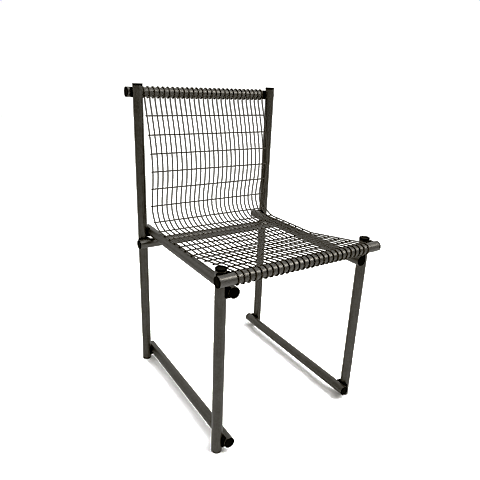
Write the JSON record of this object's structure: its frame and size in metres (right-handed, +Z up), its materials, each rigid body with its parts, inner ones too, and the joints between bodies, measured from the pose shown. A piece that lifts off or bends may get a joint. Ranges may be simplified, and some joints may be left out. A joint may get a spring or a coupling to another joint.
{
  "type": "wire mesh chair",
  "caption": "Armless dining chair of straight round tubes lapped over black saddles, with a bent wire mesh seat and back hooked round the front and top tubes",
  "frame": {"origin": "On the floor, at the centre of the bounding box, midway between the four legs", "axes": "+X to the sitter's left as seen from the front (the viewer's right), the front of the chair faces -Y, +Z up"},
  "size_m": [0.462, 0.508, 0.805],
  "materials": {
    "gunmetal_tube": "Dark gunmetal with a warm grey-brown tint, mottled and slightly worn, semi-gloss",
    "dark_wire": "Near-black brown wire, satin",
    "black_plastic": "Black moulded plastic, satin",
    "zinc_fixing": "Zinc-plated steel, out of sight inside the tubes"
  },
  "bodies": {
    "root": {"cap_floor_rail_left_front": "black_plastic", "cap_floor_rail_left_rear": "black_plastic", "cap_floor_rail_right_front": "black_plastic", "cap_floor_rail_right_rear": "black_plastic", "cap_front_leg_left": "black_plastic", "cap_front_leg_right": "black_plastic", "cap_front_tube_left": "black_plastic", "cap_front_tube_right": "black_plastic", "cap_rear_tube_left": "black_plastic", "cap_rear_tube_right": "black_plastic", "cap_seat_rail_left_front": "black_plastic", "cap_seat_rail_left_rear": "black_plastic", "cap_seat_rail_right_front": "black_plastic", "cap_seat_rail_right_rear": "black_plastic", "cap_top_tube_left": "black_plastic", "cap_top_tube_right": "black_plastic", "cap_upright_left": "black_plastic", "cap_upright_right": "black_plastic", "foot_front_left": "black_plastic", "foot_front_right": "black_plastic", "foot_rear_left": "black_plastic", "foot_rear_right": "black_plastic", "front_left_leg": "gunmetal_tube", "front_right_leg": "gunmetal_tube", "front_seat_tube": "gunmetal_tube", "joint_inserts": "zinc_fixing", "joint_screws": "zinc_fixing", "left_floor_rail": "gunmetal_tube", "left_seat_rail": "gunmetal_tube", "mesh_cross_wires": "dark_wire", "mesh_long_wires": "dark_wire", "rear_cross_tube": "gunmetal_tube", "rear_left_upright": "gunmetal_tube", "rear_right_upright": "gunmetal_tube", "right_floor_rail": "gunmetal_tube", "right_seat_rail": "gunmetal_tube", "saddle_floor_front_left": "black_plastic", "saddle_floor_front_right": "black_plastic", "saddle_floor_rear_left": "black_plastic", "saddle_floor_rear_right": "black_plastic", "saddle_front_tube_left": "black_plastic", "saddle_front_tube_right": "black_plastic", "saddle_rear_tube_left": "black_plastic", "saddle_rear_tube_right": "black_plastic", "saddle_seat_front_left": "black_plastic", "saddle_seat_front_right": "black_plastic", "saddle_seat_rear_left": "black_plastic", "saddle_seat_rear_right": "black_plastic", "saddle_top_tube_left": "black_plastic", "saddle_top_tube_right": "black_plastic", "top_back_tube": "gunmetal_tube"}
  },
  "joints": []
}
